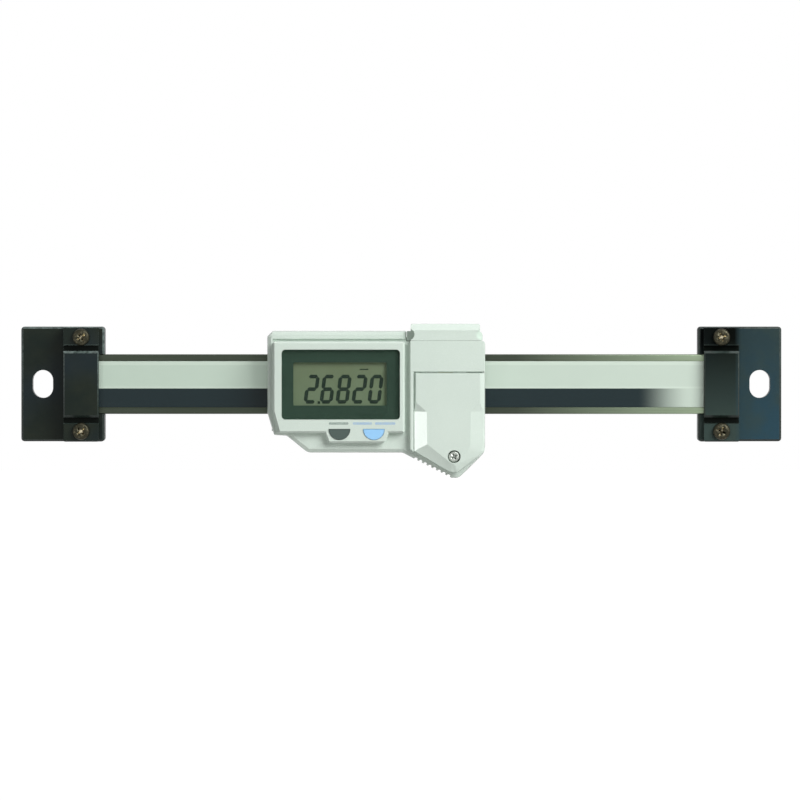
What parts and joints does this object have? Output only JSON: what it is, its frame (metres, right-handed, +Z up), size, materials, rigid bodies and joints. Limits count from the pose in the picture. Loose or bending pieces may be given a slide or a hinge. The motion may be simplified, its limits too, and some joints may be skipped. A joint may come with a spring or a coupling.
{
  "type": "absolute digital linear scale unit",
  "caption": "Open linear scale: a steel beam with a bonded scale held between slotted end brackets, and a sliding reader with a number display, keys and a covered output connector.",
  "frame": {"origin": "centre of the left mounting slot on the mounting plane, which is the back of both end brackets", "axes": "+X along the beam from the left bracket to the right one, +Y into the mounting surface, +Z up"},
  "size_m": [0.2041, 0.0194, 0.0412],
  "materials": {
    "beam_steel": "ground",
    "board_green": "satin",
    "scale_film": "satin",
    "black_metal": "satin",
    "dark_screw": "black oxide",
    "steel_screw": "plain",
    "frame_metal": "satin",
    "gib_brass": "plain",
    "wiper_felt": "felt",
    "black_plastic": "matte",
    "white_plastic": "matte",
    "lcd_glass": "clear",
    "black_rubber": "matte",
    "pale_rubber": "matte",
    "dark_key": "satin",
    "blue_key": "satin",
    "housing": "satin",
    "window": "gloss",
    "cell_steel": "polished",
    "contact_metal": "plain"
  },
  "bodies": {
    "rail": {"beam": "beam_steel", "scale_board": "board_green", "scale_film": "scale_film", "left_bracket": "black_metal", "right_bracket": "black_metal", "left_clamp": "black_metal", "right_clamp": "black_metal", "left_clamp_screws": "dark_screw", "right_clamp_screws": "dark_screw"},
    "slider": {"slider_frame": "frame_metal", "gib_strip": "gib_brass", "gib_screws": "dark_screw", "wiper_strips": "wiper_felt", "back_plate": "frame_metal", "back_plate_screws": "dark_screw", "reader_board": "board_green", "reader_connector": "black_plastic", "main_board": "board_green", "measuring_chip": "black_plastic", "lcd_holder": "white_plastic", "lcd_glass": "lcd_glass", "zebra_strips": "black_rubber", "keypad": "pale_rubber", "case_gasket": "black_rubber", "front_case": "housing", "case_screws": "steel_screw", "display_window": "window", "connector_cover": "housing", "cover_screw": "steel_screw", "cover_gasket": "black_rubber", "output_connector": "black_plastic", "battery": "cell_steel", "battery_contacts": "contact_metal"},
    "origin_key": {"origin_button": "dark_key"},
    "zero_key": {"zero_button": "blue_key"},
    "cap": {"battery_cap": "housing", "battery_seal": "black_rubber"}
  },
  "joints": [
    {"name": "slider_travel", "type": "slide", "parent": "rail", "child": "slider", "axis": [1, 0, 0], "range_m": [-0.0433, 0.0567]},
    {"name": "origin_press", "type": "slide", "parent": "slider", "child": "origin_key", "axis": [0, 1, 0], "range_m": [0, 0.0005], "stiffness_N_per_m": 1000, "springref_m": -0.0003},
    {"name": "zero_press", "type": "slide", "parent": "slider", "child": "zero_key", "axis": [0, 1, 0], "range_m": [0, 0.0005], "stiffness_N_per_m": 1000, "springref_m": -0.0003},
    {"name": "cap_pull", "type": "slide", "parent": "slider", "child": "cap", "axis": [0, 0, 1], "range_m": [0, 0.008]}
  ]
}
